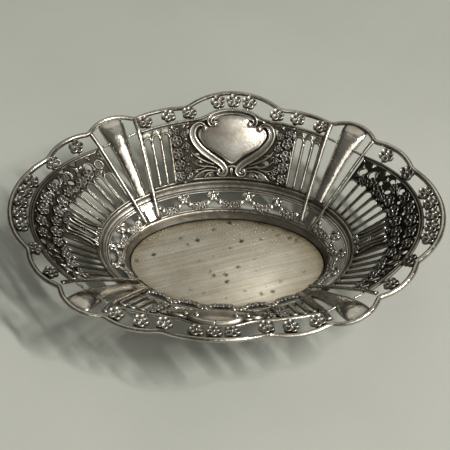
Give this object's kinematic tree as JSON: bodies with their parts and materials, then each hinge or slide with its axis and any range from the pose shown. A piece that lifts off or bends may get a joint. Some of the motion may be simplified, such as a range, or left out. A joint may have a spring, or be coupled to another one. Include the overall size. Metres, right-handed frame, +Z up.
{
  "type": "pierced dish",
  "caption": "Oval pierced silver dish with a flat base plate, garland gallery, moulded band, slatted floral walls, flutes, cartouches and a wavy wire rim.",
  "frame": {"origin": "centre of the underside of the base plate, on the surface it stands on", "axes": "+X along the long axis to the right, +Y across the dish to the back, +Z up"},
  "size_m": [0.2396, 0.1822, 0.0517],
  "materials": {
    "plate_silver": "flat silver base plate, worn and finely scratched, slightly warm",
    "plain_silver": "polished silver of ribs, flutes, bands, wires and shields with light tarnish",
    "pierced_silver": "pierced silver sheet with dark tarnish in its recesses",
    "ornament_silver": "relief silver flowers and scrolls with dark tarnish in their hollows"
  },
  "bodies": {
    "root": {"base_border": "plain_silver", "base_plate": "plate_silver", "bouquet_left": "ornament_silver", "bouquet_right": "ornament_silver", "bracket_left": "ornament_silver", "bracket_right": "ornament_silver", "end_panel_left": "pierced_silver", "end_panel_right": "pierced_silver", "end_rib_back_left": "plain_silver", "end_rib_back_right": "plain_silver", "end_rib_front_left": "plain_silver", "end_rib_front_right": "plain_silver", "flank_left_back": "ornament_silver", "flank_left_front": "ornament_silver", "flank_right_back": "ornament_silver", "flank_right_front": "ornament_silver", "flute_back_left": "plain_silver", "flute_back_right": "plain_silver", "flute_foot_back_left": "plain_silver", "flute_foot_back_right": "plain_silver", "flute_foot_front_left": "plain_silver", "flute_foot_front_right": "plain_silver", "flute_front_left": "plain_silver", "flute_front_right": "plain_silver", "flute_ties_back_left": "plain_silver", "flute_ties_back_right": "plain_silver", "flute_ties_front_left": "plain_silver", "flute_ties_front_right": "plain_silver", "gallery_back": "pierced_silver", "gallery_front": "pierced_silver", "gallery_left": "pierced_silver", "gallery_right": "pierced_silver", "middle_band": "plain_silver", "rail_back": "plain_silver", "rail_front": "plain_silver", "rail_left": "plain_silver", "rail_right": "plain_silver", "rim_wire": "plain_silver", "rosettes_back": "ornament_silver", "rosettes_front": "ornament_silver", "rosettes_left": "ornament_silver", "rosettes_right": "ornament_silver", "scroll_frame_back": "ornament_silver", "scroll_frame_front": "ornament_silver", "shield_back": "plain_silver", "shield_front": "plain_silver", "side_panel_back": "pierced_silver", "side_panel_front": "pierced_silver", "side_rib_back_left": "plain_silver", "side_rib_back_right": "plain_silver", "side_rib_front_left": "plain_silver", "side_rib_front_right": "plain_silver", "spray_back_left": "ornament_silver", "spray_back_right": "ornament_silver", "spray_front_left": "ornament_silver", "spray_front_right": "ornament_silver"}
  },
  "joints": []
}
